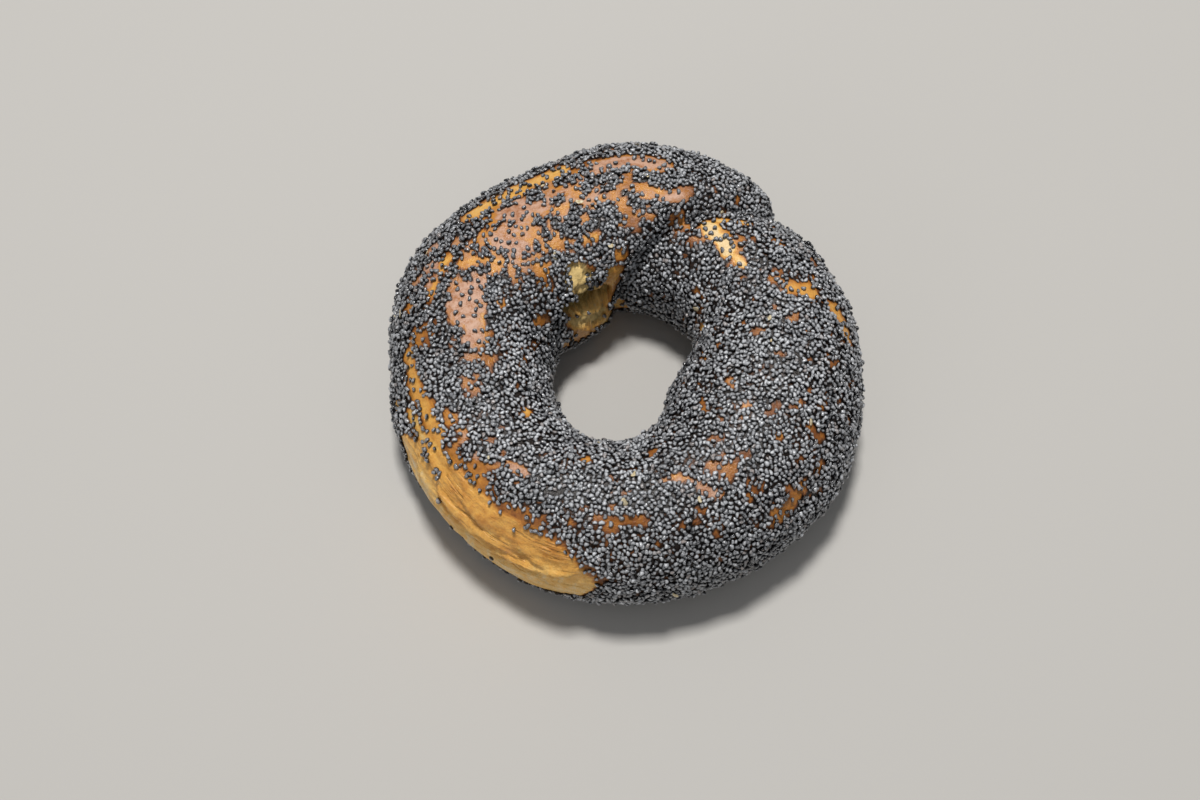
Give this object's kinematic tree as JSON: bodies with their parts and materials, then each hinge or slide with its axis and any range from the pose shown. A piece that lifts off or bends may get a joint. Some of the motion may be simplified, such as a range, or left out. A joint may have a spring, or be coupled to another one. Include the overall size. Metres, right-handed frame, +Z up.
{
  "type": "poppy seed bagel",
  "caption": "Hand-rolled ring bagel with overlapping rope ends, a bare golden side and a close coat of poppy seeds everywhere else.",
  "frame": {"origin": "on the flat underside, below the middle of the bounding box", "axes": "+Z up along the hole's axis, +Y towards the side where the two rope ends overlap, +X to the right seen from above"},
  "size_m": [0.1014, 0.102, 0.035],
  "materials": {
    "crust": "matt to satin baked crust under a close coat of slate-grey poppy seeds, golden where bare",
    "poppy_seed": "dry satin slate-grey seeds with a fine raised net on each",
    "pale_flake": "dry matt straw-coloured husk flakes and crumbs"
  },
  "bodies": {
    "root": {"bagel": "crust"}
  },
  "joints": []
}
